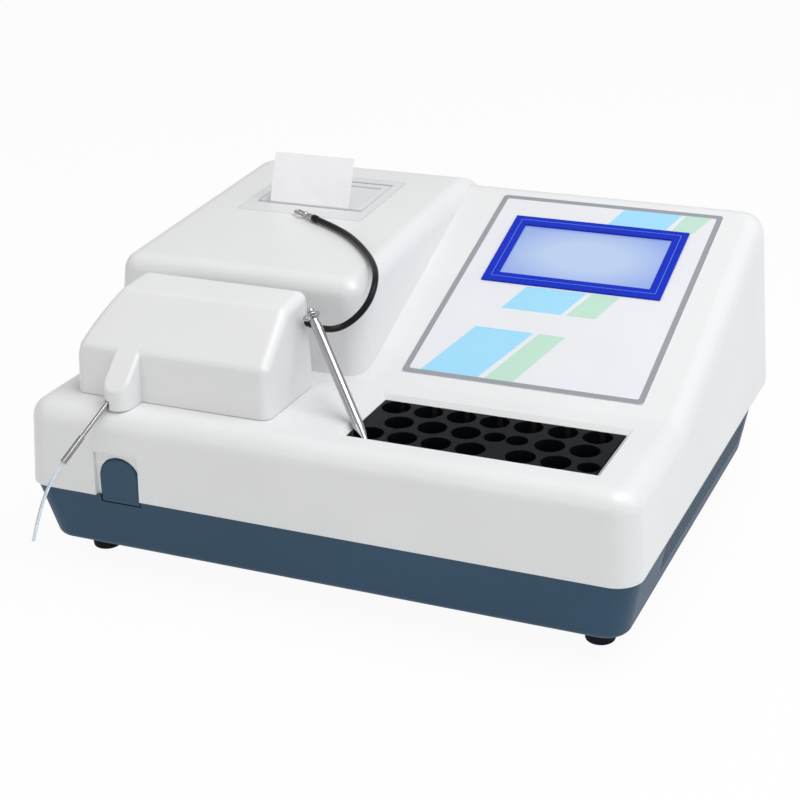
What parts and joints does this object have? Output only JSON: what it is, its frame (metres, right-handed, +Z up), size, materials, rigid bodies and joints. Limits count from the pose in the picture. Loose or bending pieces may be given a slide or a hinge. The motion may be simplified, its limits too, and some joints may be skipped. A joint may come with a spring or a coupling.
{
  "type": "benchtop photometer with tube incubator",
  "caption": "Desktop analyzer: sloping case with display, tube heating block, lift-off optics cover with sampling needle, slip printer and touch pen on a lanyard.",
  "frame": {"origin": "on the table under the middle of the box around the instrument without its cords", "axes": "+X to the right and +Y to the rear seen from the front, +Z up"},
  "size_m": [0.38, 0.3749, 0.2025],
  "materials": {
    "case_white": "satin moulded plastic",
    "printer_white": "satin moulded plastic",
    "base_blue": "fine texture",
    "button_blue": "satin",
    "foot_rubber": "matte",
    "panel_film": "printed film",
    "bezel_blue": "gloss",
    "screen_glass": "polished",
    "board_green": "solder mask",
    "block_black": "black anodised",
    "sheet_steel": "zinc plated",
    "aluminium": "machined",
    "steel": "polished",
    "pen_steel": "polished",
    "black_plastic": "matte",
    "grey_plastic": "matte",
    "port_metal": "tinned",
    "clear_glass": "polished",
    "filter_glass": "coated",
    "paper": "thermal paper",
    "platen_rubber": "matte",
    "clear_tube": "milky",
    "cord_black": "satin"
  },
  "bodies": {
    "instrument": {"upper_case": "case_white", "lower_base": "base_blue", "foot_front_left": "foot_rubber", "foot_front_right": "foot_rubber", "foot_rear_left": "foot_rubber", "foot_rear_right": "foot_rubber", "fan_frame": "black_plastic", "mains_inlet": "black_plastic", "switch_frame": "black_plastic", "serial_port": "port_metal", "waste_port": "grey_plastic", "chassis_plate": "sheet_steel", "power_supply": "sheet_steel", "main_board": "board_green", "pump_bracket": "sheet_steel", "pump_head": "grey_plastic", "pump_motor": "black_plastic", "optics_well": "black_plastic", "flow_cell": "black_plastic", "detector_board": "board_green", "lamp_house": "aluminium", "lamp": "clear_glass", "condenser_lens": "clear_glass", "wheel_motor": "black_plastic", "wheel_bracket": "sheet_steel", "probe_holder": "grey_plastic", "probe_needle": "steel", "probe_sleeve": "steel", "probe_tube": "clear_tube", "incubator_block": "block_black", "heater_plate": "aluminium", "incubator_tray": "black_plastic", "control_panel": "panel_film", "display_bezel": "bezel_blue", "display_screen": "screen_glass", "display_board": "board_green", "printer_frame": "printer_white", "print_head": "black_plastic", "roll_spindle": "grey_plastic", "button_bracket": "sheet_steel", "micro_switch": "black_plastic"},
    "cover": {"optics_cover": "case_white"},
    "wheel": {"filter_wheel": "aluminium", "wheel_filters": "filter_glass"},
    "pump": {"pump_rotor": "grey_plastic"},
    "door": {"printer_door": "printer_white", "paper_strip": "paper"},
    "platen": {"platen_roller": "platen_rubber", "platen_shaft": "steel"},
    "roll": {"paper_roll": "paper"},
    "fan": {"fan_rotor": "black_plastic"},
    "rocker": {"power_switch": "black_plastic"},
    "button": {"aspirate_button": "button_blue"},
    "pen": {"touch_pen": "pen_steel", "pen_cap": "pen_steel", "pen_ring": "steel", "lanyard_ends": "cord_black", "lanyard_cord": "cord_black", "lanyard_clasp": "pen_steel"}
  },
  "joints": [
    {"name": "cover_lift", "type": "slide", "parent": "instrument", "child": "cover", "axis": [0, 0, 1], "range_m": [0, 0.08]},
    {"name": "pen_lift", "type": "slide", "parent": "instrument", "child": "pen", "axis": [0, 0, 1], "range_m": [0, 0.08]},
    {"name": "aspirate_press", "type": "slide", "parent": "instrument", "child": "button", "axis": [0, 1, 0], "range_m": [0, 0.003], "stiffness_N_per_m": 400},
    {"name": "door_swing", "type": "hinge", "parent": "instrument", "child": "door", "pos_m": [-0.1055, 0.12837, 0.17161], "axis": [-1, 0, 0], "range_deg": [0, 80]},
    {"name": "platen_turn", "type": "hinge", "parent": "door", "child": "platen", "pos_m": [-0.1055, 0.08455, 0.16289], "axis": [1, 0, 0], "continuous": true},
    {"name": "roll_turn", "type": "hinge", "parent": "instrument", "child": "roll", "pos_m": [-0.1055, 0.10839, 0.14342], "axis": [1, 0, 0], "continuous": true},
    {"name": "wheel_turn", "type": "hinge", "parent": "instrument", "child": "wheel", "pos_m": [-0.1017, -0.09043, 0.1003], "axis": [1, 0, 0], "continuous": true},
    {"name": "pump_turn", "type": "hinge", "parent": "instrument", "child": "pump", "pos_m": [-0.118, -0.05343, 0.068], "axis": [0, 1, 0], "continuous": true},
    {"name": "fan_turn", "type": "hinge", "parent": "instrument", "child": "fan", "pos_m": [-0.13, 0.12327, 0.036], "axis": [0, 1, 0], "continuous": true},
    {"name": "power_rock", "type": "hinge", "parent": "instrument", "child": "rocker", "pos_m": [0.102, 0.13507, 0.036], "axis": [1, 0, 0], "range_deg": [0, 20]}
  ],
  "couplings": [
    {"joint": "roll_turn", "follows": "platen_turn", "ratio": -0.2632}
  ]
}
